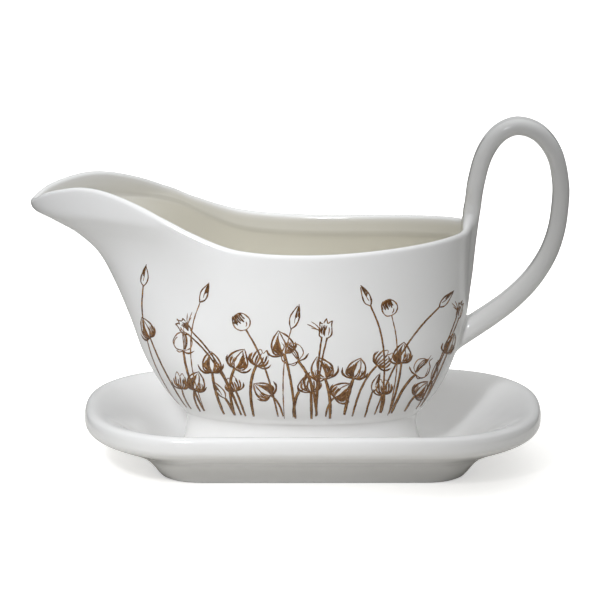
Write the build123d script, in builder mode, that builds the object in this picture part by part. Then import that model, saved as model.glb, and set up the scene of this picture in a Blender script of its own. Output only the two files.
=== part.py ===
"""Gravy boat with a separate stand, in millimetres.

+X runs from the spout to the handle, +Z is up, and the origin is the middle
of the stand's foot on the table.  The boat lifts straight off the stand.
"""
import os
from math import cos, hypot, pi, sin

from build123d import *

os.makedirs("parts", exist_ok=True)

# ---------------------------------------------------------------- dimensions
STAND_LENGTH = 186.0
STAND_WIDTH = 121.0
STAND_HEIGHT = 25.4
STAND_FLOOR = 6.5            # top of the floor that the boat's foot rests on
STAND_RECESS = 2.5           # depth of the glazed hollow under the stand
STAND_KINK = 7.5             # height where the foot turns out into the flare
STAND_EDGE = 2.2             # rounding of the two edges of the rolled lip
STAND_FOOT_EDGE = 0.9        # rounding of the edges that stand on the table
STAND_CORNER = 50.0          # length along X of the lip's rounded end
CORNER_STRETCH = 1.21        # a corner's length along Y over its length along X
CORNER_POWER = 2.0 / 2.3     # a little fuller than an ellipse
SIDE_POINTS = 4              # points along half of a long side
CORNER_POINTS = 9            # points round one corner

BOAT_BASE = 22.0             # underside of the bowl, top of its foot
WALL = 3.0                   # thickness of the bowl's wall
FLOOR = 5.0                  # thickness of the bowl's floor
OUTLINE_POINTS = 28          # points on one closed horizontal outline

RIM_EDGE = 0.8               # rounding of the bowl's rim
FOOT_WALL = 4.5              # thickness of the foot ring
FOOT_SPREAD = 1.2            # how far the foot ring spreads at the bottom
FOOT_EDGE = 1.0              # rounding of its resting edge

HANDLE_THICKNESS = 6.8       # across the strap, in the plane of the loop
HANDLE_WIDTH = 12.5          # along Y
HANDLE_ROUND = 3.2           # corner radius of the strap
HANDLE_FLARE = 4.0           # how much it swells where it meets the wall again
HANDLE_STEPS = 24            # sections along the strap

# Middle line of the strap: distance along X and height.
HANDLE_PATH = [
    (59.4, 66.0),
    (62.3, 84.0),
    (64.9, 104.0),
    (70.2, 130.5),
    (83.6, 141.9),
    (98.7, 130.3),
    (101.3, 113.0),
    (96.0, 87.3),
    (81.0, 68.8),
    (68.0, 59.6),
    (54.0, 51.0),
]

# The bowl's lines: height, spout side, handle side, half width, all in mm.
BOWL_LINES = [
    (22.0, -52.6, 43.3, 27.6),
    (32.0, -61.3, 51.7, 33.4),
    (46.0, -69.4, 58.4, 37.4),
    (62.0, -75.2, 63.0, 39.8),
    (78.0, -81.8, 64.4, 40.9),
    (90.0, -89.2, 65.1, 41.3),
    (98.0, -97.4, 65.7, 41.4),
    (103.5, -108.6, 66.2, 41.4),
    (108.0, -115.4, 66.7, 41.5),
    (122.0, -116.7, 68.0, 41.6),
]

# The rim seen from the side: distance along X and height, spout to handle.
RIM_LINE = [
    (-124.0, 104.0),
    (-116.4, 110.5),
    (-108.0, 116.0),
    (-91.7, 119.2),
    (-73.4, 115.0),
    (-50.0, 104.2),
    (-30.0, 98.1),
    (0.0, 96.1),
    (38.0, 98.2),
    (80.0, 105.0),
]


def bend(x, start, end):
    """Rise smoothly from 0 at start to 1 at end."""
    t = min(max((x - start) / (end - start), 0.0), 1.0)
    return t * t * (3.0 - 2.0 * t)


def closed_face(points, height):
    """Horizontal face inside a closed curve through the points."""
    with BuildSketch(Plane.XY.offset(height)) as section:
        with BuildLine():
            Spline(*points, periodic=True)
        make_face()
    return section.sketch


# --------------------------------------------------------------- the stand
def oblong(half_length, half_width, corner, height):
    """Horizontal oblong with soft corners, this long at the corner along X."""
    corner_y = CORNER_STRETCH * corner
    quarter = []
    for step in range(SIDE_POINTS):
        quarter.append(((half_length - corner) * step / SIDE_POINTS, half_width))
    for step in range(CORNER_POINTS):
        angle = 0.5 * pi * (1.0 - step / CORNER_POINTS)
        x = half_length - corner * (1.0 - cos(angle) ** CORNER_POWER)
        y = half_width - corner_y * (1.0 - sin(angle) ** CORNER_POWER)
        quarter.append((x, y))
    right = quarter + [(half_length, 0.0)] + [(x, -y) for x, y in reversed(quarter)]
    left = [(-x, y) for x, y in reversed(right[1:-1])]
    return closed_face(right + left, height)


def rim_oblong(inset, height):
    """Outline of the stand, this far inside the outermost line of its lip."""
    return oblong(
        0.5 * STAND_LENGTH - inset,
        0.5 * STAND_WIDTH - inset,
        STAND_CORNER - inset,
        height,
    )


FOOT_TOP = oblong(67.5, 38.3, 23.0, STAND_KINK)
FLARE = [
    FOOT_TOP,
    oblong(80.0, 49.8, 36.0, 13.5),
    oblong(88.8, 57.0, 45.0, 17.6),
    rim_oblong(0.0, 22.4),
    rim_oblong(1.4, STAND_HEIGHT),
]
DISH = [
    oblong(55.5, 31.5, 24.0, STAND_FLOOR),
    oblong(61.0, 36.5, 28.5, 8.6),
    oblong(69.0, 43.5, 34.5, 13.6),
    oblong(77.0, 49.0, 40.0, 19.0),
    rim_oblong(8.2, 23.2),
    rim_oblong(5.2, STAND_HEIGHT),
]

with BuildPart() as stand:
    loft([oblong(62.0, 34.5, 20.0, 0.0), FOOT_TOP], ruled=True)
    loft(FLARE)
    loft(DISH, mode=Mode.SUBTRACT)
    extrude(oblong(56.0, 28.5, 14.0, 0.0), amount=STAND_RECESS, mode=Mode.SUBTRACT)
    fillet(stand.faces().sort_by(Axis.Z)[-1].edges(), STAND_EDGE)
    fillet(stand.faces().sort_by(Axis.Z)[0].edges(), STAND_FOOT_EDGE)

# ---------------------------------------------------------------- the bowl
def follow(column, height):
    """Smooth value of one column of BOWL_LINES at a height."""
    rows = BOWL_LINES
    place = max(i for i in range(len(rows) - 1) if rows[i][0] <= height)
    low, high = rows[place], rows[place + 1]
    before = rows[max(place - 1, 0)]
    after = rows[min(place + 2, len(rows) - 1)]
    step = high[0] - low[0]
    slope_low = (high[column] - before[column]) / (high[0] - before[0])
    slope_high = (after[column] - low[column]) / (after[0] - low[0])
    t = (height - low[0]) / step
    straight = low[column] + t * (high[column] - low[column])
    chord = (high[column] - low[column]) / step
    ease_low = (slope_low - chord) * step * t * (1.0 - t) ** 2
    ease_high = (slope_high - chord) * step * t * t * (1.0 - t)
    return straight + ease_low - ease_high


def bowl_outline(height, wall=0.0, spout_wall=0.0):
    """Closed horizontal outline of the bowl, a wall's thickness inside it."""
    spout = follow(1, height) + spout_wall
    back = follow(2, height) - wall
    half_width = follow(3, height) - wall
    middle = -2.0 - 24.0 * bend(height, 22.0, 97.0)
    pinch = 0.41 * bend(height, 45.0, 107.0)
    points = []
    for step in range(OUTLINE_POINTS):
        angle = 2.0 * pi * (step + 0.5) / OUTLINE_POINTS + pi / 2.0
        along = cos(angle)
        side = 1.0 if sin(angle) > 0.0 else -1.0
        if along > 0.0:
            x = middle + (back - middle) * along
            y = half_width * (1.0 - along ** 2.25) ** (1.0 / 2.25)
        else:
            x = middle + (middle - spout) * along
            y = half_width * abs(sin(angle)) * (1.0 - pinch * bend(-along, 0.3, 0.75))
        points.append((x, side * y))
    return points


def bowl_section(height, wall=0.0):
    """Horizontal face of the bowl at a height, a wall's thickness inside it."""
    lean = follow(1, height) - follow(1, height + 1.0)
    spout_wall = wall * hypot(1.0, min(lean, 1.6))
    return closed_face(bowl_outline(height, wall, spout_wall), height)


def below_rim():
    """Side view of all that lies below the rim, seen along Y."""
    with BuildSketch(Plane.XZ) as view:
        with BuildLine():
            rim = Spline(*RIM_LINE)
            Polyline(rim @ 1, (RIM_LINE[-1][0], 0.0), (RIM_LINE[0][0], 0.0), rim @ 0)
        make_face()
    return view.sketch


OUTER_HEIGHTS = [row[0] for row in BOWL_LINES[:-1]] + [116.0, 121.0]
BOWL_SKIN = [bowl_section(height) for height in OUTER_HEIGHTS]
BOWL_CAVITY = [
    bowl_section(BOAT_BASE + FLOOR, WALL + 9.0),
    bowl_section(BOAT_BASE + FLOOR + 2.0, WALL + 4.0),
]
BOWL_CAVITY += [bowl_section(height, WALL) for height in OUTER_HEIGHTS if height > 30.0]

with BuildPart() as solid_bowl:
    loft(BOWL_SKIN)
    extrude(below_rim(), amount=STAND_WIDTH, both=True, mode=Mode.INTERSECT)

with BuildPart() as bowl:
    add(solid_bowl.part)
    loft(BOWL_CAVITY, mode=Mode.SUBTRACT)
    long_edges = bowl.edges().filter_by(lambda edge: edge.length > 150.0)
    fillet(long_edges.filter_by(lambda edge: edge.center().Z > 80.0), RIM_EDGE)

# ---------------------------------------------------------- the boat's foot
def foot_section(height, grow):
    """Outline of the bowl's base, grown all round, laid at a height."""
    return closed_face(bowl_outline(BOAT_BASE, -grow, -grow), height)


with BuildPart() as foot_ring:
    loft([
        foot_section(STAND_FLOOR, FOOT_SPREAD),
        foot_section(STAND_FLOOR + 8.0, 0.3),
        foot_section(BOAT_BASE, 0.0),
    ])
    loft([
        foot_section(STAND_FLOOR, -FOOT_WALL),
        foot_section(BOAT_BASE, -FOOT_WALL),
    ], mode=Mode.SUBTRACT)
    resting_face = foot_ring.faces().sort_by(Axis.Z)[0]
    fillet(resting_face.edges(), FOOT_EDGE)

# -------------------------------------------------------------- the handle
def strap_section(path, place):
    """Cross-section of the strap, a fraction of the way along its path."""
    spread = bend(place, 0.84, 0.97)
    with BuildSketch(Plane(path @ place, x_dir=(0, 1, 0), z_dir=path % place)) as section:
        RectangleRounded(
            HANDLE_WIDTH + HANDLE_FLARE * spread,
            HANDLE_THICKNESS + HANDLE_FLARE * spread,
            HANDLE_ROUND,
        )
    return section.sketch


with BuildLine(Plane.XZ) as loop:
    Spline(*HANDLE_PATH)
LOOP = loop.line.edges()[0]

with BuildPart() as handle:
    loft([strap_section(LOOP, step / HANDLE_STEPS) for step in range(HANDLE_STEPS + 1)])
    add(solid_bowl.part, mode=Mode.SUBTRACT)

# -------------------------------------------------------------- the files
stand.part.label = "stand"
bowl.part.label = "bowl"
foot_ring.part.label = "foot_ring"
handle.part.label = "handle"

export_step(stand.part, "parts/stand.step")
export_step(bowl.part, "parts/bowl.step")
export_step(foot_ring.part, "parts/foot_ring.step")
export_step(handle.part, "parts/handle.step")
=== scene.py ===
"""Gravy boat on its stand: finished surfaces, printed pattern, camera and light.

Shapes are worked out in millimetres and stored in metres.  +X runs from the
spout to the handle, +Z is up, and the table is at z = 0.
"""
import bisect
import math
import random

import bpy
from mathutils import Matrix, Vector


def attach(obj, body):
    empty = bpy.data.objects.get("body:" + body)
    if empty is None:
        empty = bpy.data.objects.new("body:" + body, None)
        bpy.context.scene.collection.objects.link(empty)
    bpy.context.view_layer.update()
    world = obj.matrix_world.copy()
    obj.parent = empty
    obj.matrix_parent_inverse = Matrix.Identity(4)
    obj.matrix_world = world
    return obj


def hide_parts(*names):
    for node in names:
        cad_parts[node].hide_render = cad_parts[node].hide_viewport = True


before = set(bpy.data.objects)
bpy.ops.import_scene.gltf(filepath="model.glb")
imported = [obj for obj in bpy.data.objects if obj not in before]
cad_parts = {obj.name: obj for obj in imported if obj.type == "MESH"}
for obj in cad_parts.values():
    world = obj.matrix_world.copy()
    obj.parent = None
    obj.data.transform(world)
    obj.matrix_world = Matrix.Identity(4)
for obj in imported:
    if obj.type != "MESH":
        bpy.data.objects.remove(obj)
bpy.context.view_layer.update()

MM = 0.001

# ---------------- driving dimensions
STAND_FLOOR = 6.5            # top of the dish's flat middle, where the boat stands
BOAT_BASE = 22.0             # where the bowl's wall meets its foot
NECK = BOAT_BASE + 2.4       # where the foot's outside has become the bowl's wall
WALL = 2.5
LIP_WALL = 3.2               # the band inside the rim is a little thicker
LIP_BAND = (6.0, 7.4)        # how far below the rim that band fades out
BOWL_FLOOR = 27.0            # height of the floor inside the bowl
INSIDE_TURN = 36.0           # height below which the inside curves in to its floor
SPOUT_PINCH = 0.43           # how much the top of the bowl narrows to its spout
BACK_POWER = 2.25            # how square the back half is; 2 would be an ellipse
STRAP_FLAT = 3.0             # half width of the strap's flat faces
STRAP_THICK = 3.4            # half thickness, and radius of its round edges
STRAP_SWELL = 0.24           # how much thicker it gets towards its lower end
RIM_REACH = 12.5             # how far from the strap the rim starts to climb
RIM_SWEEP = 9.5              # how high it climbs to become the strap's edge
TOP_OF_SWEEP = 108.5         # height where the climbing rim has become the strap
RIM_LOW = 85.0               # the whole rim lies between these heights
RIM_HIGH = 121.0

# How finely the bowl is divided: ribs round it, rows up its skin, and steps
# over its lip and round each edge of the strap.
RIBS = 280
BOWL_ROWS = 64
LIP_STEPS = 7

# The bowl's lines: height, spout side, handle side, half width, all in mm.
BOWL_LINES = [
    (22.0, -52.6, 43.3, 27.6),
    (32.0, -61.3, 51.7, 33.4),
    (46.0, -69.4, 58.4, 37.4),
    (62.0, -75.2, 63.0, 39.8),
    (78.0, -81.8, 64.4, 40.9),
    (90.0, -88.5, 65.1, 41.3),
    (98.0, -97.4, 65.7, 41.4),
    (103.5, -107.2, 66.2, 41.4),
    (108.0, -115.0, 66.7, 41.5),
    (122.0, -116.2, 68.0, 41.6),
]

# The rim seen from the side: distance along X and height, spout to handle.
RIM_LINE = [
    (-124.0, 102.6),
    (-116.2, 109.1),
    (-108.0, 114.6),
    (-91.7, 117.8),
    (-73.4, 113.5),
    (-50.0, 102.9),
    (-30.0, 96.8),
    (0.0, 94.8),
    (38.0, 96.4),
    (80.0, 100.3),
]

# The stand's cross-section from the middle of its underside, out round the
# lip and back to the middle of the dish: half length, half width, corner
# radius and height.
STAND_UNDER = [
    (50.0, 24.0, 9.0, 2.5),
    (55.6, 27.1, 11.0, 2.45),
    (57.2, 28.7, 12.2, 1.4),
    (58.0, 29.5, 13.0, 0.2),
]
STAND_FOOT = [
    (58.8, 30.3, 13.8, 0.0),
    (61.9, 33.4, 16.4, 0.0),
]
STAND_TOP = [
    (63.0, 34.5, 17.4, 0.5),
    (64.4, 35.5, 18.4, 2.0),
    (66.4, 36.9, 20.0, 4.4),
    (68.8, 38.4, 22.0, 6.6),
    (72.0, 40.8, 25.2, 8.6),
    (76.4, 44.8, 29.8, 10.7),
    (81.6, 50.1, 36.0, 12.8),
    (87.6, 54.8, 41.0, 15.0),
    (91.8, 58.2, 45.0, 16.9),
    (93.7, 59.9, 47.4, 18.8),
    (94.1, 60.5, 48.6, 21.4),
    (94.0, 60.4, 48.8, 23.0),
    (93.2, 59.7, 48.2, 24.6),
    (91.3, 58.0, 46.8, 25.4),
    (88.5, 55.6, 44.8, 25.0),
    (85.0, 53.2, 43.0, 23.5),
    (81.0, 50.8, 41.4, 21.4),
    (76.0, 48.2, 39.2, 18.3),
    (69.0, 43.5, 34.5, 13.7),
    (62.0, 37.2, 29.5, 9.0),
    (57.0, 32.8, 25.5, 7.0),
    (52.0, 28.5, 22.0, 6.5),
    (42.0, 19.0, 14.6, 6.5),
]


# ---------------- plain helpers
def bend(x, start, end):
    """Rise smoothly from 0 at start to 1 at end."""
    t = min(max((x - start) / (end - start), 0.0), 1.0)
    return t * t * (3.0 - 2.0 * t)


def mix(a, b, t):
    """The value a share t of the way from a to b."""
    return a + (b - a) * t


def running_total(steps):
    """The sum of the steps so far, starting from 0."""
    total = [0.0]
    for step in steps:
        total.append(total[-1] + step)
    return total


def even_shares(place, count):
    """Divide a line evenly, given its points' distances along it.

    Gives the gap that each division falls in, and the share of that gap.
    """
    at = 0
    for index in range(count + 1):
        want = place[-1] * index / count
        while at < len(place) - 2 and place[at + 1] < want:
            at += 1
        t = (want - place[at]) / max(place[at + 1] - place[at], 1e-9)
        yield at, min(max(t, 0.0), 1.0)


def last_true(test, low, high, rounds=30):
    """The last value between low and high that passes a test, by halving."""
    for _ in range(rounds):
        middle = 0.5 * (low + high)
        if test(middle):
            low = middle
        else:
            high = middle
    return low


def smooth_path(points, steps):
    """Points of a smooth curve through the given ones, any number of columns."""
    count, columns = len(points), range(len(points[0]))
    gaps = [max(math.dist(points[i], points[i + 1]), 1e-6) for i in range(count - 1)]
    place = running_total(gaps)
    slopes = []
    for i in range(count):
        before, after = max(i - 1, 0), min(i + 1, count - 1)
        span = place[after] - place[before]
        slopes.append([(points[after][c] - points[before][c]) / span for c in columns])
    curve = []
    for i in range(count - 1):
        for step in range(steps):
            t = step / steps
            h00 = (1.0 + 2.0 * t) * (1.0 - t) ** 2
            h10 = t * (1.0 - t) ** 2
            h01 = t * t * (3.0 - 2.0 * t)
            h11 = t * t * (t - 1.0)
            curve.append(tuple(
                h00 * points[i][c] + h10 * gaps[i] * slopes[i][c]
                + h01 * points[i + 1][c] + h11 * gaps[i] * slopes[i + 1][c]
                for c in columns))
    curve.append(tuple(points[-1]))
    return curve


def follow(rows, column, key):
    """Smooth value of one column of a table whose first column is the key."""
    place = 0
    while place < len(rows) - 2 and rows[place + 1][0] <= key:
        place += 1
    low, high = rows[place], rows[place + 1]
    before = rows[max(place - 1, 0)]
    after = rows[min(place + 2, len(rows) - 1)]
    step = high[0] - low[0]
    chord = (high[column] - low[column]) / step
    slope_low = (high[column] - before[column]) / (high[0] - before[0])
    slope_high = (after[column] - low[column]) / (after[0] - low[0])
    t = (key - low[0]) / step
    ease = (slope_low - chord) * (1.0 - t) - (slope_high - chord) * t
    return low[column] + t * (high[column] - low[column]) + ease * step * t * (1.0 - t)


def add_object(name, data):
    """New object in the scene that holds a mesh, a light or a camera."""
    holder = bpy.data.objects.new(name, data)
    bpy.context.scene.collection.objects.link(holder)
    return holder


def new_piece(name, verts, faces, materials, face_slots=None, values=None):
    """Mesh object from points in mm, smooth shaded, with its materials.

    Values are (attribute name, one number for each point) for a material to read.
    """
    used = sorted({corner for face in faces for corner in face})
    order = {corner: index for index, corner in enumerate(used)}
    places = [tuple(value * MM for value in verts[corner]) for corner in used]
    mesh = bpy.data.meshes.new(name)
    mesh.from_pydata(places, [], [[order[corner] for corner in face] for face in faces])
    mesh.validate()
    for material in materials:
        mesh.materials.append(material)
    for index, polygon in enumerate(mesh.polygons):
        polygon.use_smooth = True
        if face_slots:
            polygon.material_index = face_slots[index]
    if values:
        attribute = mesh.attributes.new(values[0], "FLOAT", "POINT")
        attribute.data.foreach_set("value", [values[1][corner] for corner in used])
    return add_object(name, mesh)


class Rings:
    """Quads between closed rings of equal length, kept in one list."""

    def __init__(self, count):
        self.count = count
        self.verts = []
        self.faces = []
        self.slots = []

    def add(self, ring, slot=0, skip=()):
        """Join a ring to the one before it, but for the skipped columns."""
        base = len(self.verts)
        self.verts += [tuple(point) for point in ring]
        if base:
            last = base - self.count
            for i in range(self.count):
                if i in skip:
                    continue
                j = (i + 1) % self.count
                self.faces.append((last + i, last + j, base + j, base + i))
                self.slots.append(slot)

    def close(self, corners):
        """Fill a hidden opening with a face that shares no points with the skin."""
        base = len(self.verts)
        self.verts += [tuple(corner) for corner in corners]
        self.faces.append(tuple(range(base, base + len(corners))))
        self.slots.append(0)

    def cap(self, base, flip, slot=0):
        """Fill the ring that starts at base with quads across the plane y = 0."""
        half = self.count // 2
        rows = [(base + i, base + (self.count - i) % self.count) for i in range(half + 1)]
        for (a, d), (b, c) in zip(rows, rows[1:]):
            corners = [a, b, c, d]
            face = [v for i, v in enumerate(corners) if v not in corners[:i]]
            self.faces.append(tuple(reversed(face)) if flip else tuple(face))
            self.slots.append(slot)


# ---------------- materials
GLAZE_LIGHT = (0.845, 0.837, 0.82)
GLAZE_DEEP = (0.825, 0.817, 0.795)
# Inside colour: a cream tint darkened far below the outside glaze, as painted shade inside the bowl.
INSIDE_CREAM_IN_SHADE = (0.63, 0.60, 0.505)
CREAM_DEPTH = 0.97           # brightness of the clouded cream, as a share
CLAY_DARK = (0.62, 0.57, 0.49)
CLAY_LIGHT = (0.76, 0.72, 0.65)
INK_PALE = (0.43, 0.225, 0.075)
INK_MIDDLE = (0.215, 0.095, 0.026)
INK_DARK = (0.088, 0.035, 0.008)
INK_PATCHES = 1.5            # how strongly the ink's patches show


class Graph:
    """The shader nodes of a material or of the world."""

    def __init__(self, owner):
        owner.use_nodes = True
        self.nodes = owner.node_tree.nodes
        self.links = owner.node_tree.links

    def fill(self, node, inputs):
        """Set a node's inputs to fixed values or to other nodes' outputs."""
        for name, value in inputs.items():
            if isinstance(value, bpy.types.NodeSocket):
                self.links.new(value, node.inputs[name])
            else:
                node.inputs[name].default_value = value

    def add(self, kind, output, inputs, **settings):
        """New node with its settings and inputs; returns the output asked for."""
        node = self.nodes.new("ShaderNode" + kind)
        for name, value in settings.items():
            setattr(node, name, value)
        self.fill(node, inputs)
        return node.outputs[output]

    def noise(self, where, scale, detail=3.0, rough=0.5):
        inputs = {"Vector": where, "Scale": scale, "Detail": detail, "Roughness": rough}
        return self.add("TexNoise", "Fac", inputs)

    def maths(self, operation, *values):
        return self.add("Math", "Value", dict(enumerate(values)), operation=operation)

    def vector_maths(self, operation, output, *values):
        return self.add("VectorMath", output, dict(enumerate(values)), operation=operation)

    def attribute(self, name):
        """A piece's own number for each of its points."""
        return self.add("Attribute", "Fac", {}, attribute_name=name)

    def mix_colours(self, factor, first, second):
        inputs = {"Factor": factor, "A": first, "B": second}
        return self.add("Mix", "Result", inputs, data_type="RGBA")

    def ramp(self, factor, stops):
        """Colour ramp with (place, colour) stops."""
        node = self.nodes.new("ShaderNodeValToRGB")
        elements = node.color_ramp.elements
        while len(elements) < len(stops):
            elements.new(0.5)
        for element, (place, colour) in zip(elements, stops):
            element.position = place
            element.color = (*colour, 1.0)
        self.fill(node, {"Fac": factor})
        return node.outputs["Color"]

    def map_range(self, value, start, end, low, high):
        """Value that goes from low to high as another goes from start to end."""
        inputs = {"Value": value, "From Min": start, "From Max": end,
                  "To Min": low, "To Max": high}
        return self.add("MapRange", "Result", inputs)

    def stretch(self, noise, low, high):
        """Spread a noise, which is mostly within 0.3 to 0.7, over a range."""
        return self.map_range(noise, 0.3, 0.7, low, high)

    def bump(self, height, distance, strength):
        """Normal of a surface that a noise makes uneven; distance is in metres."""
        inputs = {"Height": height, "Distance": distance, "Strength": strength}
        return self.add("Bump", "Normal", inputs)


# The clear gloss that is fired over body and print alike.
CLEAR_COAT = {"IOR": 1.5, "Coat Weight": 0.25, "Coat Roughness": 0.05}


def shader(name):
    """New material, its nodes, its main shader, and the place in object space."""
    material = bpy.data.materials.new(name)
    graph = Graph(material)
    return material, graph, graph.nodes["Principled BSDF"], graph.add("TexCoord", "Object", {})


def glaze(name):
    """Clear gloss glaze over white clay: faint clouding and a wavy surface.

    The inside's cream, darkened as painted shade inside the bowl, shows where the piece's "inside"
    attribute is 1.
    """
    material, graph, principled, where = shader(name)
    clouds = graph.noise(where, 18.0, 4.0, 0.6)
    white = graph.ramp(clouds, [(0.35, GLAZE_DEEP), (0.65, GLAZE_LIGHT)])
    deep_shaded_cream = tuple(CREAM_DEPTH * value for value in INSIDE_CREAM_IN_SHADE)
    # painted shade: the inside's darker cream stands in for the shade within the bowl
    shaded_cream = graph.ramp(clouds, [(0.35, deep_shaded_cream), (0.65, INSIDE_CREAM_IN_SHADE)])
    graph.fill(principled, CLEAR_COAT | {
        "Base Color": graph.mix_colours(graph.attribute("inside"), white, shaded_cream),
        "Roughness": graph.stretch(graph.noise(where, 90.0, 2.0), 0.10, 0.17),
        "Normal": graph.bump(graph.noise(where, 38.0, 2.0), 0.0006, 0.12)})
    return material


def bare_clay():
    """Wiped, unglazed foot ring: matt, slightly warm and gritty."""
    material, graph, principled, where = shader("bare_clay")
    grit = graph.noise(where, 900.0, 4.0, 0.7)
    graph.fill(principled, {
        "Base Color": graph.ramp(grit, [(0.3, CLAY_DARK), (0.7, CLAY_LIGHT)]),
        "Roughness": 0.8,
        "Normal": graph.bump(grit, 0.0002, 0.5)})
    return material


def brown_ink():
    """Sepia print fired under the glaze: thin and patchy, darker where it pools."""
    material, graph, principled, where = shader("brown_ink")
    patches = graph.noise(where, 900.0, 3.0, 0.65)
    uneven = graph.maths("MULTIPLY_ADD", patches, INK_PATCHES, -0.5 * INK_PATCHES)
    pooled = graph.maths("ADD", graph.attribute("tone"), uneven)
    graph.fill(principled, CLEAR_COAT | {
        "Base Color": graph.ramp(pooled, [(0.1, INK_PALE), (0.45, INK_MIDDLE), (0.9, INK_DARK)]),
        "Roughness": graph.stretch(patches, 0.16, 0.26)})
    return material


BODY_GLAZE = glaze("body_glaze")
STAND_GLAZE = glaze("stand_glaze")
CLAY = bare_clay()
INK = brown_ink()


# ---------------- the stand
# How finely each quarter of a ring is divided: round the corner, and along
# the long and the short side.
CORNER_STEPS = 26
LONG_STEPS = 14
SHORT_STEPS = 4
CORNER_STRETCH = 1.21        # a corner's length along Y over its length along X
CORNER_POWER = 2.0 / 2.3     # a little fuller than an ellipse


def oblong(half_length, half_width, corner, height):
    """Ring of an oblong with soft corners, from the middle of its +X side."""
    corner_y = min(CORNER_STRETCH * corner, half_width)
    quarter = []
    for step in range(SHORT_STEPS):
        quarter.append((half_length, (half_width - corner_y) * step / SHORT_STEPS))
    for step in range(CORNER_STEPS):
        angle = 0.5 * math.pi * step / CORNER_STEPS
        quarter.append((half_length - corner * (1.0 - math.cos(angle) ** CORNER_POWER),
                        half_width - corner_y * (1.0 - math.sin(angle) ** CORNER_POWER)))
    for step in range(LONG_STEPS):
        quarter.append(((half_length - corner) * (1.0 - step / LONG_STEPS), half_width))
    ring = [(x, y, height) for x, y in quarter]
    ring.append((0.0, half_width, height))
    ring += [(-x, y, height) for x, y in reversed(quarter)]
    ring += [(-x, -y, height) for x, y in quarter[1:]]
    ring.append((0.0, -half_width, height))
    ring += [(x, -y, height) for x, y in reversed(quarter[1:])]
    return ring


def make_stand():
    """The oblong dish, from the middle of its underside round to its top."""
    rings = Rings(4 * (SHORT_STEPS + CORNER_STEPS + LONG_STEPS))
    for row in smooth_path(STAND_UNDER, 4):
        rings.add(oblong(*row))
    for row in STAND_FOOT:
        rings.add(oblong(*row), slot=1)
    for row in smooth_path(STAND_TOP, 5):
        rings.add(oblong(*row))
    rings.cap(0, flip=True)
    rings.cap(len(rings.verts) - rings.count, flip=False)
    return new_piece("stand_dish", rings.verts, rings.faces, [STAND_GLAZE, CLAY], rings.slots)


# ---------------- the bowl
def bowl_middle(height):
    """Where the bowl is widest, along X: further towards the spout higher up."""
    return -2.0 - 24.0 * bend(height, 18.0, 112.0)


def squarish(share):
    """Half width of the bowl's back half at a share of its length, as a share."""
    return max(1.0 - share ** BACK_POWER, 0.0) ** (1.0 / BACK_POWER)


def bowl_point(turn, height, grow=0.0):
    """Point of the bowl's skin; turn 0 is the back, pi is the spout's tip."""
    spout = follow(BOWL_LINES, 1, height) - grow
    back = follow(BOWL_LINES, 2, height) + grow
    half_width = follow(BOWL_LINES, 3, height) + grow
    middle = bowl_middle(height)
    pinch = SPOUT_PINCH * bend(height, 40.0, 112.0)
    along = math.cos(turn)
    side = math.sin(turn)
    if along > 0.0:
        x = middle + (back - middle) * along
        y = math.copysign(half_width * squarish(along), side)
    else:
        x = middle + (middle - spout) * along
        y = half_width * side * (1.0 - pinch * bend(-along, 0.1, 0.95))
    return Vector((x, y, height))


def rise_to_handle(y):
    """How much the rim sweeps up to become the edge of the strap."""
    inside = min(max((STRAP_FLAT + RIM_REACH - abs(y)) / RIM_REACH, 0.0), 1.0)
    return RIM_SWEEP * (1.0 - math.sqrt(1.0 - inside ** 2))


# How far the strap stands out of the back wall as a ridge: height, distance.
RIDGE = [(60.0, 0.0), (70.0, 0.35), (82.0, 1.1), (94.0, 1.6), (102.0, 1.9), (110.0, 2.2)]


def skin_point(turn, height):
    """Point of the skin with the ridge that runs down from the strap."""
    point = bowl_point(turn, height)
    if math.cos(turn) > 0.0 and height > RIDGE[0][0]:
        point.x += follow(RIDGE, 1, height) * (1.0 - bend(abs(point.y), 2.0, 8.5))
    return point


def rim_height(turn):
    """Height where the bowl's skin meets the rim line."""
    def below_rim(height):
        return height < follow(RIM_LINE, 1, bowl_point(turn, height).x)

    height = last_true(below_rim, RIM_LOW, RIM_HIGH)
    if math.cos(turn) < 0.0:
        return height
    return height + rise_to_handle(bowl_point(turn, height).y)


def rib(turn):
    """Evenly spaced points up the skin from the foot to the rim."""
    top = rim_height(turn)
    samples = [skin_point(turn, mix(NECK, top, i / 160.0)) for i in range(161)]
    place = running_total((b - a).length for a, b in zip(samples, samples[1:]))
    return [samples[at].lerp(samples[at + 1], t) for at, t in even_shares(place, BOWL_ROWS)]


def spaced_turns():
    """Turns round the bowl that space its ribs evenly, closer near the strap."""
    fine = [math.pi * i / 1500.0 for i in range(1501)]
    points = [bowl_point(turn, RIM_LOW) for turn in fine]
    steps = []
    for a, b in zip(points, points[1:]):
        crowd = 1.6 * (1.0 - bend(b.y, 12.0, 28.0)) if b.x > 0.0 else 0.0
        steps.append((b - a).length * (1.0 + crowd))
    shares = even_shares(running_total(steps), RIBS // 2)
    turns = [mix(fine[at], fine[at + 1], t) for at, t in shares]
    turns[-1] = math.pi
    return turns + [2.0 * math.pi - turn for turn in reversed(turns[1:-1])]


def strap_rib(turns):
    """Number of the rib where the strap's flat face ends, moved exactly there."""
    def on_flat(turn):
        return bowl_point(turn, TOP_OF_SWEEP).y < STRAP_FLAT

    end = last_true(on_flat, 0.0, 0.5, rounds=40)
    edge = min(range(1, 20), key=lambda i: abs(turns[i] - end))
    for i in range(1, edge + 1):
        turns[i] = end * i / edge
        turns[-i] = 2.0 * math.pi - turns[i]
    return edge


def grid_normals(grid):
    """Outward normals of a grid of rows, closed along each row."""
    rows, count = len(grid), len(grid[0])
    normals = []
    for r in range(rows):
        up, down = grid[min(r + 1, rows - 1)], grid[max(r - 1, 0)]
        line = []
        for i in range(count):
            along = grid[r][(i + 1) % count] - grid[r][i - 1]
            normal = along.cross(up[i] - down[i])
            line.append(normal.normalized())
        normals.append(line)
    return normals


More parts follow.
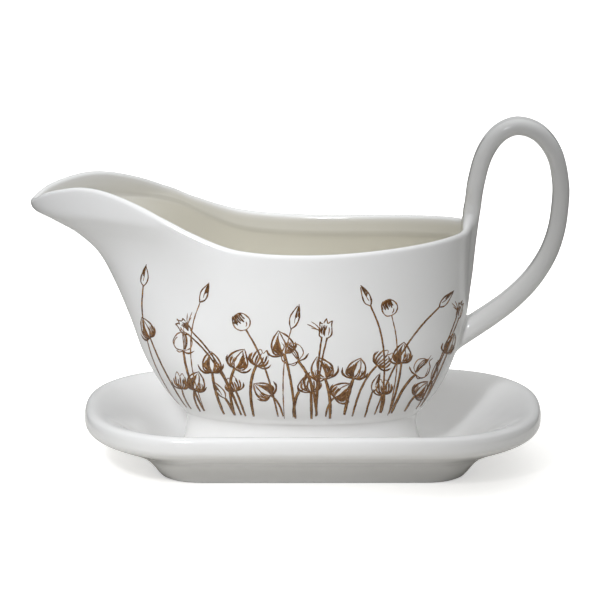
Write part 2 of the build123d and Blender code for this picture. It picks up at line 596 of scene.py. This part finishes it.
def wall_thickness(point, depth):
    """Thickness of the wall this far below the rim; thickest at the strap."""
    wall = mix(LIP_WALL, WALL, bend(depth, *LIP_BAND))
    if point.x < 0.0:
        return wall
    near = (1.0 - bend(abs(point.y), STRAP_FLAT, 11.0)) * bend(point.z, 92.0, 104.5)
    return mix(wall, 2.0 * STRAP_THICK, near)


def rim_direction(rim, i, side_rib):
    """Direction along the rim at one rib, looking only away from the strap."""
    ahead, behind = rim[(i + 1) % RIBS], rim[i - 1]
    if i == side_rib:
        behind = rim[i]
    if i == RIBS - side_rib:
        ahead = rim[i]
    return (ahead - behind).normalized()


class Skin:
    """The bowl's outer skin as a grid of points, and the wall behind it."""

    def __init__(self, turns):
        ribs = [rib(turn) for turn in turns]
        self.grid = [[line[row] for line in ribs] for row in range(BOWL_ROWS + 1)]
        self.normals = grid_normals(self.grid)
        self.lengths = [sum((b - a).length for a, b in zip(line, line[1:])) for line in ribs]
        self.rim = self.grid[BOWL_ROWS]

    def inner_row(self, row):
        """Ring of the inside, the thickness of the wall in from a row of the skin."""
        ring = []
        for point, normal, length in zip(self.grid[row], self.normals[row], self.lengths):
            depth = length * (1.0 - row / BOWL_ROWS)
            ring.append(point - normal * wall_thickness(point, depth))
        return ring

    def lip_row(self, step, side_rib):
        """Ring of the lip's round edge, this many steps over from the outside."""
        angle = math.pi * step / LIP_STEPS
        ring = []
        for i, (point, out) in enumerate(zip(self.rim, self.normals[BOWL_ROWS])):
            up = out.cross(rim_direction(self.rim, i, side_rib)).normalized()
            radius = 0.5 * wall_thickness(point, 0.0)
            ring.append(point + out * radius * (math.cos(angle) - 1.0) + up * radius * math.sin(angle))
        return ring


# The foot's hollow back and its outside, as heights and how far the foot stands
# out from the base of the bowl; its narrow bottom ring lies between the two.
FOOT_HOLLOW = [(BOAT_BASE, -14.0), (BOAT_BASE, -8.0), (20.6, -5.8), (17.0, -5.1), (9.0, -4.4)]
FOOT_EDGE = [(7.2, -3.9), (STAND_FLOOR + 0.1, -3.0)]
FOOT_BARE = [(STAND_FLOOR, -2.4), (STAND_FLOOR, 0.2)]
FOOT_OUTSIDE = [(STAND_FLOOR + 0.25, 0.8), (7.6, 1.3), (9.5, 1.1), (13.0, 0.2), (17.0, -0.5),
                (20.0, -0.5), (22.2, 0.2), (23.3, 1.2)]


def add_foot(rings, turns):
    """The foot, from the middle of the bowl's underside round to its outside."""
    glazed = smooth_path(FOOT_HOLLOW, 4) + FOOT_EDGE
    outside = smooth_path(FOOT_OUTSIDE, 3)
    for rows, slot in ((glazed, 0), (FOOT_BARE, 1), (outside, 0)):
        for height, grow in rows:
            ring = [bowl_point(turn, BOAT_BASE, grow) for turn in turns]
            rings.add([(p.x, p.y, height) for p in ring], slot)


def add_floor(rings, edge):
    """Close the inside below its last ring: a round turn, then the flat floor."""
    centre = Vector((-4.0, 0.0, BOWL_FLOOR))
    rows = []
    for step in range(1, 13):
        angle = 0.5 * math.pi * step / 12
        rows.append((1.0 - 0.42 * (1.0 - math.cos(angle)), 1.0 - math.sin(angle)))
    for step in range(1, 4):
        rows.append((0.58 * (1.0 - 0.28 * step), 0.0))
    for reach, rise in rows:
        rings.add([(mix(centre.x, p.x, reach), p.y * reach, mix(centre.z, p.z, rise)) for p in edge])


def inside_shade_shares(rings, outside_points):
    """How much of the shaded cream each point gets, as painted shade: none outside, less in the lip's
    band and towards the spout.
    """
    shares = []
    for index, point in enumerate(rings.verts):
        rows_in = (index - outside_points) // RIBS - LIP_STEPS
        # painted shade: lighter in the lip's band, and fading towards the open spout where more light
        # reaches in
        lip_band_shade = mix(0.8, 1.0, bend(rows_in, 4.0, 6.0))
        spout_shade = mix(1.0, 0.5, bend(-point[0], 55.0, 100.0))
        shares.append(bend(rows_in, -3.0, 1.0) * lip_band_shade * spout_shade)
    return shares


def make_bowl():
    """Bowl with its rounded lip, its inside and its foot, as one skin.

    Returns the piece, the loop of points where the strap leaves the rim, and
    the number of the rib where the strap's flat face ends.
    """
    turns = spaced_turns()
    side_rib = strap_rib(turns)
    behind_strap = set(range(side_rib)) | set(range(RIBS - side_rib, RIBS))
    skin = Skin(turns)
    rings = Rings(RIBS)
    add_foot(rings, turns)
    for row in skin.grid:
        rings.add(row)
    outside_points = len(rings.verts)
    lip = [skin.lip_row(step, side_rib) for step in range(1, LIP_STEPS)]
    inner_top = skin.inner_row(BOWL_ROWS)
    for ring in lip + [inner_top]:
        rings.add(ring, skip=behind_strap)
    lowest = min(row for row in range(BOWL_ROWS + 1) if skin.grid[row][RIBS // 4].z > INSIDE_TURN)
    for row in range(BOWL_ROWS - 1, lowest - 1, -1):
        edge = skin.inner_row(row)
        rings.add(edge)
    add_floor(rings, edge)
    rings.cap(0, flip=True)
    rings.cap(len(rings.verts) - rings.count, flip=False)

    across = list(range(-side_rib, side_rib + 1))
    loop = [skin.rim[i] for i in across]
    loop += [row[side_rib] for row in lip]
    loop += [inner_top[i] for i in reversed(across)]
    loop += [row[-side_rib] for row in reversed(lip)]
    rings.close(loop)
    # the "inside" attribute carries the painted shade of the bowl's inside
    piece = new_piece("boat_body", rings.verts, rings.faces, [BODY_GLAZE, CLAY], rings.slots,
                      ("inside", inside_shade_shares(rings, outside_points)))
    return piece, loop, side_rib


# ---------------- the handle
# Middle line of the strap, from the top of the rim's sweep to the back wall.
HANDLE_PATH = [
    (65.5, TOP_OF_SWEEP),
    (66.8, 118.5),
    (70.2, 130.5),
    (76.0, 138.7),
    (83.6, 141.9),
    (92.2, 139.0),
    (98.7, 130.3),
    (101.4, 118.0),
    (101.2, 108.0),
    (99.6, 97.5),
    (96.0, 87.5),
    (89.4, 77.3),
    (81.0, 68.8),
    (73.0, 62.7),
    (69.5, 60.3),
]
STRAP_SETTLE = 9.0           # length over which the rim's loop becomes the strap
JOINT_FILLET = 3.0           # reach of the soft clay pressed round its lower joint
JOINT_SINK = 0.12            # how far that ends inside the wall, so no gap shows
JOINT_STEPS = 7


def back_wall(y, z):
    """Distance along X of the bowl's back wall."""
    back = follow(BOWL_LINES, 2, z)
    half_width = follow(BOWL_LINES, 3, z)
    middle = bowl_middle(z)
    return middle + (back - middle) * squarish(min(abs(y) / half_width, 1.0))


def strap_outline(side_rib):
    """Cross-section of the strap: across, and towards the inside of the loop."""
    flat = [STRAP_FLAT * i / side_rib for i in range(-side_rib, side_rib + 1)]
    turns = [math.pi * step / LIP_STEPS for step in range(1, LIP_STEPS)]
    edge = [(STRAP_FLAT + STRAP_THICK * math.sin(t), -STRAP_THICK * math.cos(t)) for t in turns]
    half = [(u, -STRAP_THICK) for u in flat] + edge
    return half + [(-u, -v) for u, v in half]


def reach_to_wall(point, direction):
    """How far a point can go in a direction before it meets the back wall."""
    def outside(reach):
        there = point + direction * reach
        return there.x > back_wall(there.y, there.z)

    return last_true(outside, 0.0, 30.0)


def joint_rings(ring, tangent):
    """Fillet from the last ring of the strap out onto the back wall."""
    foot = [point + tangent * reach_to_wall(point, tangent) for point in ring]
    centre = sum(foot, Vector()) / len(foot)
    rings = []
    for step in range(JOINT_STEPS + 1):
        t = step / JOINT_STEPS
        line = []
        for corner in foot:
            start = corner - tangent * JOINT_FILLET
            spread = Vector((0.0, corner.y - centre.y, corner.z - centre.z)).normalized()
            end = corner + spread * JOINT_FILLET * 0.8
            end.x = back_wall(end.y, end.z) - JOINT_SINK
            line.append(start * (1.0 - t) ** 2 + corner * 2.0 * t * (1.0 - t) + end * t * t)
        rings.append(line)
    return rings


def make_handle(loop, side_rib):
    """Strap that grows out of the loop left in the rim and ends at the wall."""
    line = smooth_path(HANDLE_PATH, 8)
    section = strap_outline(side_rib)
    across = Vector((0.0, 1.0, 0.0))
    rings = Rings(len(loop))
    base, travelled = [], 0.0
    for index, (x, z) in enumerate(line):
        ahead = line[min(index + 1, len(line) - 1)]
        behind = line[max(index - 1, 0)]
        tangent = Vector((ahead[0] - behind[0], 0.0, ahead[1] - behind[1])).normalized()
        inward = tangent.cross(across)
        centre = Vector((x, 0.0, z))
        if index:
            travelled += math.dist(line[index], line[index - 1])
        else:
            base = [((p - centre).dot(across), (p - centre).dot(inward), (p - centre).dot(tangent))
                    for p in loop]
        settled = bend(travelled, 0.0, STRAP_SETTLE)
        fuller = 1.0 + STRAP_SWELL * bend(index / (len(line) - 1.0), 0.6, 1.0)
        ring = []
        for (u, v), (u0, v0, w0) in zip(section, base):
            ring.append(centre + across * mix(u0, u, settled)
                        + inward * mix(v0, v * fuller, settled)
                        + tangent * mix(w0, 0.0, settled))
        rings.add(ring)
    for ring in joint_rings(ring, tangent):
        rings.add(ring)
    rings.close(list(reversed(loop)))
    rings.close(ring)
    return new_piece("handle_loop", rings.verts, rings.faces, [BODY_GLAZE], rings.slots)


# ---------------- the printed pattern
# A meadow of seed heads drawn with a loose pen.  A place on the wall is a
# distance round it from the middle, positive towards the handle, and a height.
PRINT_LIFT = 0.05            # how far a stroke stands out of the wall
STROKE_LIFT = 0.0015         # how much higher each stroke lies than the last
STROKE_LAYERS = 31           # strokes before that starts again
PRINT_DEPTH = 0.08           # thickness of a stroke's ribbon
PRINT_STEP = 0.55            # length of one division of a stroke
PRINT_LOW = 25.8             # height where the stems start
UNROLL_LOW = PRINT_LOW - 3.0  # the wall is measured round at even heights from here
UNROLL_STEP = 4.0
UNROLL_ROWS = 19


class Wall:
    """Finds the turn on one side of the bowl from a distance round the wall."""

    def __init__(self, side):
        self.side = side
        self.rows = [self.unroll(UNROLL_LOW + UNROLL_STEP * row) for row in range(UNROLL_ROWS)]

    def unroll(self, height):
        """Distances round the wall at one height, with the turn of each."""
        turns = [math.pi * i / 120.0 for i in range(121)]
        points = [bowl_point(self.side * turn, height) for turn in turns]
        place = running_total((b - a).length for a, b in zip(points, points[1:]))
        at = next(i for i in range(120) if points[i + 1].x < 0.0)
        share = points[at].x / (points[at].x - points[at + 1].x)
        middle = mix(place[at], place[at + 1], share)
        return [(middle - reach, turn) for reach, turn in zip(place, turns)]

    def turn_at(self, row, along):
        """Turn at a distance round the wall, at one of the measured heights."""
        line = self.rows[row]
        further = bisect.bisect_left(line, -along, key=lambda spot: -spot[0])
        at = min(max(further - 1, 0), len(line) - 2)
        t = (line[at][0] - along) / (line[at][0] - line[at + 1][0])
        return mix(line[at][1], line[at + 1][1], t)

    def point(self, along, height, lift):
        """Point this far out of the wall at a distance round it and a height."""
        level = (height - UNROLL_LOW) / UNROLL_STEP
        row = min(max(int(level), 0), UNROLL_ROWS - 2)
        turn = self.side * mix(self.turn_at(row, along), self.turn_at(row + 1, along), level - row)
        here = bowl_point(turn, height)
        round_wall = bowl_point(turn + 0.01, height) - bowl_point(turn - 0.01, height)
        up_wall = bowl_point(turn, height + 0.4) - bowl_point(turn, height - 0.4)
        return here + round_wall.cross(up_wall).normalized() * lift


class Pen:
    """Draws strokes on one side of the bowl as thin closed ribbons."""

    def __init__(self, side, seed):
        self.wall = Wall(side)
        self.dice = random.Random(seed)
        self.verts = []
        self.faces = []
        self.tones = []
        self.strokes = 0

    def stroke(self, points, width, tone, ends=(0.4, 0.4)):
        """One stroke through (along, height) points, tapering at its ends."""
        rough = smooth_path(points, 10)
        place = running_total(math.dist(a, b) for a, b in zip(rough, rough[1:]))
        count = max(int(place[-1] / PRINT_STEP), 3)
        line = [tuple(mix(p, q, t) for p, q in zip(rough[at], rough[at + 1]))
                for at, t in even_shares(place, count)]
        phase = self.dice.uniform(0.0, 6.3)
        speed = self.dice.uniform(0.5, 1.1)
        lift = PRINT_LIFT + STROKE_LIFT * (self.strokes % STROKE_LAYERS)
        self.strokes += 1
        base = len(self.verts)
        for index, (along, height) in enumerate(line):
            before, after = line[max(index - 1, 0)], line[min(index + 1, count)]
            dx, dz = after[0] - before[0], after[1] - before[1]
            size = math.hypot(dx, dz) or 1.0
            swell = 0.86 + 0.14 * math.sin(phase + speed * index)
            t = index / count
            taper = min(mix(ends[0], 1.0, min(t * 5.0, 1.0)),
                        mix(ends[1], 1.0, min((1.0 - t) * 5.0, 1.0)))
            half = 0.5 * width * swell * taper
            left = half + self.dice.uniform(-0.04, 0.04)
            right = half + self.dice.uniform(-0.04, 0.04)
            nx, nz = -dz / size, dx / size
            edges = [(along + nx * left, height + nz * left), (along - nx * right, height - nz * right)]
            for depth in (lift, lift - PRINT_DEPTH):
                for u, h in edges:
                    self.verts.append(tuple(self.wall.point(u, h, depth)))
            shade = tone + 0.10 * math.sin(phase * 2.0 + 0.6 * index)
            self.tones += [shade] * 4
            if index:
                a = base + 4 * (index - 1)
                b = a + 4
                self.add_faces([(a, b, b + 1, a + 1), (a + 2, a + 3, b + 3, b + 2),
                                (a, a + 2, b + 2, b), (a + 1, b + 1, b + 3, a + 3)])
        last = base + 4 * count
        self.add_faces([(base, base + 1, base + 3, base + 2), (last, last + 2, last + 3, last + 1)])

    def add_faces(self, faces):
        """Add faces, turned to face outwards on this side of the bowl."""
        for face in faces:
            self.faces.append(face if self.wall.side > 0 else tuple(reversed(face)))


class Head:
    """Local axes of a seed head: up along its stem, and across it."""

    def __init__(self, pen, place, lean, size, flip):
        self.pen = pen
        self.place = place
        self.size = size
        self.flip = flip
        self.up = (math.sin(lean), math.cos(lean))

    def at(self, across, up):
        """Place on the wall of a point in the head's own axes, a little unsteady."""
        jitter = self.pen.dice.uniform(-0.02, 0.02)
        across = (across * self.flip + jitter) * self.size
        up = (up + jitter) * self.size
        return (self.place[0] + across * self.up[1] + up * self.up[0],
                self.place[1] - across * self.up[0] + up * self.up[1])

    def draw(self, points, width, tone, ends=(0.5, 0.3)):
        """One stroke through points in the head's own axes."""
        self.pen.stroke([self.at(x, y) for x, y in points], width, tone, ends)


def draw_bud(head):
    """Closed bud: two long curved edges and a dark tip down one side."""
    head.draw([(0.0, 0.0), (-0.15, 0.25), (-0.17, 0.55), (0.0, 1.05)], 0.62, 0.6, (0.8, 0.5))
    head.draw([(0.0, 0.0), (0.16, 0.22), (0.17, 0.58), (0.02, 1.12)], 0.72, 0.7, (0.8, 0.5))
    head.draw([(0.04, 0.25), (0.03, 0.5), (0.03, 0.85)], 0.4, 0.45)
    for step in range(4):
        side = 0.03 + 0.04 * step
        head.draw([(side, 0.46 + 0.05 * step), (side, 0.68), (0.02, 1.04)], 0.6, 0.8)


def draw_sepals(head, width, reach=1.0):
    """Three curling leaves under a pod."""
    head.draw([(0.0, 0.0), (-0.30 * reach, 0.02), (-0.50 * reach, 0.20), (-0.56 * reach, 0.42)],
              width, 0.7, (0.8, 0.2))
    head.draw([(0.0, -0.02), (0.34 * reach, -0.03), (0.58 * reach, 0.10), (0.68 * reach, 0.34)],
              width, 0.75, (0.8, 0.2))
    head.draw([(0.02, 0.0), (0.16, 0.05), (0.24, 0.22)], width * 0.8, 0.6, (0.7, 0.3))


def draw_pod(head):
    """Ripe pod: a pointed bulb in segments, dark on one side, over its sepals."""
    for edge in (-0.44, 0.44):
        head.draw([(0.0, 0.0), (0.85 * edge, 0.10), (edge, 0.40), (0.66 * edge, 0.74), (0.0, 1.02)],
                  0.85, 0.6)
    head.draw([(-0.02, 0.04), (-0.14, 0.35), (-0.10, 0.7), (0.0, 0.98)], 0.6, 0.5)
    head.draw([(0.03, 0.04), (0.14, 0.35), (0.12, 0.66), (0.02, 0.92)], 0.75, 0.6)
    for step in range(6):
        side = 0.10 + 0.058 * step
        top = 0.82 - 0.075 * step
        head.draw([(0.5 * side, 0.05), (side, 0.28), (0.9 * side, top)], 0.8, 0.5 + 0.09 * (step % 3))
    for step in range(4):
        side = -0.12 - 0.08 * step
        head.draw([(0.6 * side, 0.05), (side, 0.22), (side, 0.48)], 0.6, 0.45 + 0.1 * (step % 2))
    draw_sepals(head, 1.0)


def draw_open_pod(head):
    """Pod seen empty: a round outline with two horns and one filled segment."""
    head.draw([(0.0, 0.0), (-0.36, 0.10), (-0.48, 0.42), (-0.26, 0.72), (-0.04, 0.84), (-0.02, 1.05)],
              0.6, 0.55)
    head.draw([(0.0, 0.0), (0.36, 0.12), (0.47, 0.45), (0.30, 0.72), (0.10, 0.84), (0.14, 1.08)],
              0.5, 0.4)
    head.draw([(-0.42, 0.3), (-0.36, 0.5), (-0.22, 0.62)], 0.45, 0.45)
    for step in range(4):
        side = 0.04 + 0.06 * step
        head.draw([(0.4 * side, 0.04), (side, 0.35), (side, 0.66), (0.06, 0.86)], 0.5, 0.62)
    head.draw([(0.0, -0.02), (0.26, -0.10), (0.52, -0.02)], 0.8, 0.65, (0.6, 0.2))
    head.draw([(0.0, 0.0), (-0.22, -0.06), (-0.34, 0.04)], 0.6, 0.6, (0.6, 0.2))


def draw_round_pod(head):
    """Round pod: a ring closed by a dark cap at its far end."""
    ring = [(0.40 * math.sin(a), 0.42 - 0.42 * math.cos(a)) for a in [0.63 * k for k in range(11)]]
    head.draw(ring, 0.6, 0.5, (0.8, 0.8))
    for step in range(7):
        side = -0.20 + 0.085 * step
        head.draw([(side, 0.46 - 0.10 * (step % 2)), (side + 0.03, 0.62), (0.7 * side, 0.84)], 0.8, 0.8)
    head.draw([(-0.06, 0.12), (-0.16, 0.2), (-0.2, 0.32)], 0.45, 0.45)


def draw_crown(head):
    """Burst seed head: a bell with a ragged mouth, dark inside, with whiskers."""
    mouth = [(-0.22, 0.44), (-0.17, 0.74), (-0.02, 0.58), (0.06, 0.80), (0.16, 0.56), (0.30, 0.62),
             (0.27, 0.40)]
    head.draw([(-0.10, -0.05), (-0.24, 0.10), (-0.26, 0.28), mouth[0]], 0.75, 0.62, (0.8, 0.8))
    head.draw([(0.10, -0.05), (0.20, 0.04), (0.24, 0.20), mouth[-1]], 0.85, 0.7, (0.8, 0.8))
    for a, b in zip(mouth, mouth[1:]):
        bowed = (0.5 * (a[0] + b[0]) + 0.02, 0.5 * (a[1] + b[1]) - 0.02)
        head.draw([a, bowed, b], 0.6, 0.66, (0.8, 0.8))
    for step in range(4):
        side = 0.01 + 0.055 * step
        head.draw([(side, 0.04 + 0.03 * step), (side + 0.03, 0.26), (side, 0.50)], 0.62, 0.7)
    head.draw([(-0.16, 0.12), (-0.15, 0.30), (-0.10, 0.46)], 0.5, 0.5)
    for reach, rise in ((0.66, 0.56), (0.84, 0.40), (0.62, 0.30)):
        head.draw([(0.24, 0.24), (0.6 * reach, 0.5 * (0.26 + rise)), (reach, rise)], 0.42, 0.5)


def draw_cup(head):
    """Small half-open head: a hatched cup with short upright points."""
    for step in range(7):
        side = -0.42 + 0.14 * step
        top = 0.52 + 0.16 * (step % 2)
        head.draw([(0.4 * side, 0.0), (0.95 * side, 0.2), (side, top)], 0.85, 0.45 + 0.12 * (step % 3))
    head.draw([(-0.30, 0.55), (-0.12, 0.82), (0.04, 0.66), (0.16, 0.90), (0.34, 0.58)], 0.4, 0.4)
    draw_sepals(head, 0.85, 0.9)


def stem_path(base, top, lean):
    """Gentle arc from the foot to a head, arriving along the head's lean."""
    reach = 0.36 * math.dist(base, top)
    chord = math.atan2(top[0] - base[0], top[1] - base[1])
    start = chord + min(max(0.6 * (chord - lean), -0.3), 0.3)
    low = (base[0] + reach * math.sin(start), base[1] + reach * math.cos(start))
    high = (top[0] - reach * math.sin(lean), top[1] - reach * math.cos(lean))
    points = []
    for step in range(7):
        t = step / 6.0
        weights = ((1.0 - t) ** 3, 3.0 * t * (1.0 - t) ** 2, 3.0 * t * t * (1.0 - t), t ** 3)
        points.append(tuple(sum(w * p[c] for w, p in zip(weights, (base, low, high, top)))
                            for c in range(2)))
    return points


def beside(path, distance):
    """The same path, set over to the right by a distance."""
    moved = []
    for index, (u, h) in enumerate(path):
        before, after = path[max(index - 1, 0)], path[min(index + 1, len(path) - 1)]
        size = math.dist(before, after)
        moved.append((u + distance * (after[1] - before[1]) / size,
                      h - distance * (after[0] - before[0]) / size))
    return moved


def draw_stem(pen, base, top, lean, width):
    """One stem: a thin line, or a thick one shaded down both edges."""
    path = stem_path(base, top, lean)
    if width < 0.6:
        pen.stroke(path, width, 0.45, (0.4, 0.8))
        return
    pen.stroke(path, width, 0.35, (0.35, 0.9))
    pen.stroke(beside(path, 0.30 * width), 0.45 * width, 0.78, (0.3, 0.7))
    pen.stroke(beside(path, -0.32 * width), 0.35 * width, 0.6, (0.3, 0.7))


def draw_twin_stem(pen, base, top, lean):
    """Two thin stems that start together and part towards the head."""
    path = stem_path(base, top, lean)
    for side, width, tone in ((-1.0, 0.85, 0.62), (1.0, 0.8, 0.55)):
        parted = []
        for index in range(len(path)):
            t = index / (len(path) - 1)
            parted.append(beside(path, side * mix(0.15, 1.1, t * t))[index])
        pen.stroke(parted, width, tone, (0.4, 0.8))
        pen.stroke(beside(parted, 0.25), 0.3, 0.9, (0.4, 0.8))


# The meadow's rows, back to front: the kinds of head in turn, how many heads,
# the heights between which they stand, and the sizes of a head and of a stem.
MEADOW = [
    ((draw_bud, draw_crown, draw_bud, draw_round_pod), 10, (62.0, 80.0), 9.0, 0.7),
    ((draw_pod, draw_open_pod, draw_pod, draw_pod, draw_cup), 13, (43.0, 57.0), 9.2, 1.2),
    ((draw_cup, draw_pod, draw_bud), 12, (33.5, 39.5), 8.5, 1.1),
]
MEADOW_START = -89.0         # how far the top of the meadow reaches to the spout
MEADOW_END = 80.0            # and to the handle
MEADOW_TOP = 80.0            # height of its tallest heads
FOOT_SPREAD = 0.66           # share of its length that it has at the stems' feet
STEM_SLANT = 0.3             # how far a stem's foot may be out, for its height
HEAD_NOD = 1.6               # how much further the head of a slanted stem leans
SEEDS = ((-1, 2), (1, 29))   # side of the bowl, seed of its meadow


def spread(height):
    """Share of the meadow's whole length that it fills at one height."""
    return mix(FOOT_SPREAD, 1.0, (height - PRINT_LOW) / (MEADOW_TOP - PRINT_LOW))


def grow_meadow(pen):
    """Draw the rows of plants, which fan out evenly but for a little chance."""
    dice = pen.dice
    for kinds, count, (lowest, highest), size, stem in MEADOW:
        for index in range(count):
            draw_head = kinds[index % len(kinds)]
            place = mix(MEADOW_START, MEADOW_END, (index + dice.uniform(0.15, 0.85)) / count)
            height = dice.uniform(lowest, highest)
            top = (place * spread(height), height)
            slant = dice.uniform(-STEM_SLANT, STEM_SLANT)
            foot = (place * FOOT_SPREAD + slant * (height - PRINT_LOW),
                    PRINT_LOW + dice.uniform(0.0, 2.0))
            lean = math.atan2(top[0] - foot[0], top[1] - foot[1]) - slant * HEAD_NOD
            if draw_head is draw_crown:
                draw_twin_stem(pen, foot, top, lean)
            else:
                draw_stem(pen, foot, top, lean, stem * dice.uniform(0.75, 1.25))
            full_size = size * dice.uniform(0.9, 1.1)
            draw_head(Head(pen, top, lean, full_size, dice.choice((-1.0, 1.0))))


def make_print():
    """The pattern on both sides of the bowl, as one set of thin ribbons."""
    verts, faces, tones = [], [], []
    for side, seed in SEEDS:
        pen = Pen(side, seed)
        grow_meadow(pen)
        faces += [tuple(corner + len(verts) for corner in face) for face in pen.faces]
        verts += pen.verts
        tones += pen.tones
    return new_piece("seed_head_print", verts, faces, [INK], values=("tone", tones))


stand_dish = make_stand()
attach(stand_dish, "stand")
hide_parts("stand")

boat_body, strap_loop, strap_side = make_bowl()
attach(boat_body, "boat")
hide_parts("bowl", "foot_ring")

handle_loop = make_handle(strap_loop, strap_side)
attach(handle_loop, "boat")
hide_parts("handle")

seed_head_print = make_print()
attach(seed_head_print, "boat")


# ---------------- floor, light, camera
FLOOR_SIZE = 8000.0
FLOOR_TINTS = [(0.3, (0.85, 0.835, 0.80)), (0.7, (0.87, 0.855, 0.82))]
GROUND = (0.16, 0.157, 0.152, 1.0)  # the darker room's floor beyond the table
TABLE_EDGE = 0.30            # how far the white table lights the object, in metres
TABLE_SQUEEZE = 1.7          # how much narrower it is from side to side
FLOOR_LIFT = 0.52            # light added to it for the camera, near the object
SHADOW_FADE = (0.11, 0.22)   # metres out where its shadow starts to fade, and is gone

WHITE = (1.0, 1.0, 1.0, 1.0)
ROOM_COLOUR = (0.97, 0.985, 1.0, 1.0)
# The room's soft boxes: the way each one lies, and how strong it is.
SOFT_BOXES = [
    ((0.0, 0.0, 1.0), 1.27),
    ((-1.0, 0.0, 0.0), 0.05),
    ((1.0, 0.0, 0.0), 0.03),
    ((0.0, 1.0, 0.0), 0.42),
    ((0.0, -1.0, 0.0), 0.10),
]
KEY_AIM = Vector((-0.032, 0.0, 0.055))
KEY_FROM = Vector((-0.22, -0.79, 0.53))  # direction that the key light comes from
KEY_DISTANCE = 0.9
KEY_SIZE = 0.17
KEY_SPREAD = 13.0            # degrees: a narrow beam
KEY_POWER = 0.078
KEY_COLOUR = (0.935, 0.955, 1.0)

VIEW_AIM = Vector((-5.3, 0.0, 68.8)) * MM
VIEW_HEIGHT = 13.2           # degrees above the table
VIEW_DISTANCE = 2.2
VIEW_WIDTH = 246.914 * MM    # width of the view at the object


def to_camera(graph, seen, lit):
    """Shader that the camera sees one way and the light another."""
    is_seen = graph.add("LightPath", "Is Camera Ray", {})
    return graph.add("MixShader", "Shader", {"Fac": is_seen, 1: lit, 2: seen})


def make_floor():
    """White table: only the shadow close to the stand is seen on it.

    The light meets a table that is narrow from side to side, in a darker room.
    """
    material, graph, principled, where = shader("floor_white")
    tint = graph.ramp(graph.noise(where, 1.5, 2.0), FLOOR_TINTS)
    graph.fill(principled, {"Base Color": tint, "Roughness": 0.7})

    def from_middle(squeeze, start, end, low, high):
        """Rise from low to high with the distance from the middle of the table."""
        squeezed = graph.vector_maths("MULTIPLY", "Vector", where, (squeeze, 1.0, 1.0))
        distance = graph.vector_maths("LENGTH", "Value", squeezed)
        return graph.map_range(distance, start, end, low, high)

    beyond = from_middle(TABLE_SQUEEZE, TABLE_EDGE, 1.3 * TABLE_EDGE, 0.0, 1.0)
    lit = graph.add("BsdfDiffuse", "BSDF", {"Color": graph.mix_colours(beyond, tint, GROUND)})
    lift = from_middle(1.0, *SHADOW_FADE, FLOOR_LIFT, 1.0)
    paper = graph.add("Emission", "Emission", {"Strength": lift})
    seen = graph.add("AddShader", "Shader", {0: principled.outputs["BSDF"], 1: paper})
    graph.fill(graph.nodes["Material Output"], {"Surface": to_camera(graph, seen, lit)})
    half = 0.5 * FLOOR_SIZE
    corners = [(-half, -half, 0.0), (half, -half, 0.0), (half, half, 0.0), (-half, half, 0.0)]
    floor = new_piece("floor", corners, [(0, 1, 2, 3)], [material])


def make_key():
    """One square lamp, a little left of the camera and above it."""
    light = bpy.data.lights.new("key", "AREA")
    light.spread = math.radians(KEY_SPREAD)
    light.size = KEY_SIZE
    light.energy = KEY_POWER
    light.color = KEY_COLOUR
    holder = add_object("key", light)
    holder.location = KEY_AIM + KEY_FROM * KEY_DISTANCE
    holder.rotation_euler = (-KEY_FROM).to_track_quat("-Z", "Y").to_euler()


def soft_box(graph, direction, facing, strength):
    """Light from a wide part of the room: strongest in the facing direction."""
    along = graph.vector_maths("DOT_PRODUCT", "Value", direction, facing)
    ahead = graph.maths("MAXIMUM", along, 0.0)
    return graph.maths("MULTIPLY", graph.maths("POWER", ahead, 2.0), strength)


def make_world():
    """White behind the object, and soft boxes round it that only light it."""
    world = bpy.data.worlds.new("studio")
    bpy.context.scene.world = world
    graph = Graph(world)
    direction = graph.add("TexCoord", "Generated", {})
    total = 0.0
    for facing, strength in SOFT_BOXES:
        total = graph.maths("ADD", total, soft_box(graph, direction, facing, strength))
    room = graph.add("Background", "Background", {"Color": ROOM_COLOUR, "Strength": total})
    backdrop = graph.add("Background", "Background", {"Color": WHITE})
    graph.fill(graph.nodes["World Output"], {"Surface": to_camera(graph, backdrop, room)})


def make_camera():
    """Camera a little above the table, square to the boat's side."""
    camera = bpy.data.cameras.new("camera")
    camera.lens = camera.sensor_width * VIEW_DISTANCE / VIEW_WIDTH
    camera.clip_end = 100.0
    holder = add_object("camera", camera)
    rise = math.radians(VIEW_HEIGHT)
    holder.location = VIEW_AIM + VIEW_DISTANCE * Vector((0.0, -math.cos(rise), math.sin(rise)))
    holder.rotation_euler = (math.radians(90.0) - rise, 0.0, 0.0)
    bpy.context.scene.camera = holder


make_floor()
make_world()
make_key()
make_camera()
bpy.context.scene.view_settings.view_transform = "Standard"
